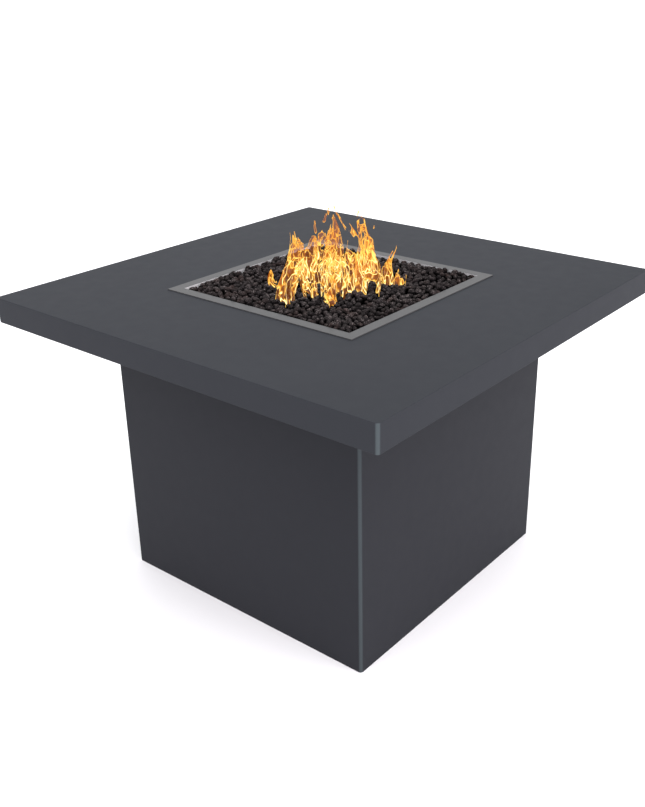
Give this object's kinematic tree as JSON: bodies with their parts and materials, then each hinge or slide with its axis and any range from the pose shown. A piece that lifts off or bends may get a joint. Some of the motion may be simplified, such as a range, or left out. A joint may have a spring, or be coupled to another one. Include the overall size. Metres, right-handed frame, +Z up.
{
  "type": "fire pit",
  "caption": "Square gas fire table: wide folded-steel top on a box base, a drop-in burner pan of lava stones, a rear access door and a side key valve.",
  "frame": {"origin": "on the floor, under the middle of the table", "axes": "+Z up, -Y the front, -X the left side, +Y the side with the access door, +X the side with the key valve"},
  "size_m": [0.914, 0.914, 0.61],
  "materials": {
    "powder_coat": "satin dark grey powder coat with a fine orange-peel texture",
    "frame_paint": "satin black primer on angle iron, hidden inside",
    "pan_stainless": "brushed stainless sheet, brushed along each side of the flange",
    "raw_steel": "heat-darkened steel bar",
    "burner_stainless": "stainless tube with a light heat tint",
    "lava_stone": "porous charcoal-black lava rock, slightly brown",
    "zinc": "bright zinc plate",
    "brass": "machined yellow brass",
    "hose_steel": "corrugated stainless line with a yellow coating",
    "chrome": "polished chrome plate",
    "black_nylon": "moulded black nylon",
    "magnet": "nickel-plated magnet with ground pole faces",
    "vent_stainless": "brushed stainless vent plate"
  },
  "bodies": {
    "table": {"table_top": "powder_coat", "base_front_wrap": "powder_coat", "base_rear_wrap": "powder_coat", "corner_posts": "frame_paint", "top_frame": "frame_paint", "bottom_frame": "frame_paint", "opening_frame": "frame_paint", "top_studs": "zinc", "top_washers": "zinc", "top_nuts": "zinc", "foot_weld_nuts": "zinc", "burner_pan": "pan_stainless", "rock_grate": "raw_steel", "lava_rock_bed": "lava_stone", "burner_ring": "burner_stainless", "burner_nipple": "raw_steel", "pan_washer": "zinc", "pan_locknut": "zinc", "gas_elbow": "brass", "air_mixer": "brass", "mixer_flare_nut": "brass", "gas_hose": "hose_steel", "valve_flare_nut": "brass", "valve_body": "brass", "valve_locknut": "brass", "valve_escutcheon": "chrome", "door_jamb": "frame_paint", "magnet_catch": "black_nylon", "catch_magnets": "magnet", "catch_screws": "zinc", "hinge_leaves_fixed": "vent_stainless", "hinge_pins": "zinc", "hinge_screws_fixed": "zinc", "vent_grilles": "vent_stainless", "vent_screws": "zinc"},
    "door": {"access_door": "powder_coat", "door_stiffener": "frame_paint", "door_knob": "chrome", "knob_nut": "zinc", "door_strike": "zinc", "hinge_leaves_door": "vent_stainless", "hinge_screws_door": "zinc"},
    "stem": {"valve_stem": "brass"},
    "key": {"valve_key": "chrome"},
    "foot_front_left": {"foot_pad_front_left": "black_nylon", "foot_stud_front_left": "zinc"},
    "foot_front_right": {"foot_pad_front_right": "black_nylon", "foot_stud_front_right": "zinc"},
    "foot_rear_left": {"foot_pad_rear_left": "black_nylon", "foot_stud_rear_left": "zinc"},
    "foot_rear_right": {"foot_pad_rear_right": "black_nylon", "foot_stud_rear_right": "zinc"}
  },
  "joints": [
    {"name": "door_hinge", "type": "hinge", "parent": "table", "child": "door", "pos_m": [-0.1985, 0.3085, 0.285], "axis": [0, 0, 1], "range_deg": [0, 110]},
    {"name": "valve_turn", "type": "hinge", "parent": "table", "child": "stem", "pos_m": [0.267, -0.09, 0.482], "axis": [1, 0, 0], "range_deg": [-90, 0]},
    {"name": "key_pull", "type": "slide", "parent": "stem", "child": "key", "axis": [1, 0, 0], "range_m": [0, 0.12]},
    {"name": "foot_screw_front_left", "type": "slide", "parent": "table", "child": "foot_front_left", "axis": [0, 0, -1], "range_m": [0, 0.015]},
    {"name": "foot_screw_front_right", "type": "slide", "parent": "table", "child": "foot_front_right", "axis": [0, 0, -1], "range_m": [0, 0.015]},
    {"name": "foot_screw_rear_left", "type": "slide", "parent": "table", "child": "foot_rear_left", "axis": [0, 0, -1], "range_m": [0, 0.015]},
    {"name": "foot_screw_rear_right", "type": "slide", "parent": "table", "child": "foot_rear_right", "axis": [0, 0, -1], "range_m": [0, 0.015]}
  ]
}
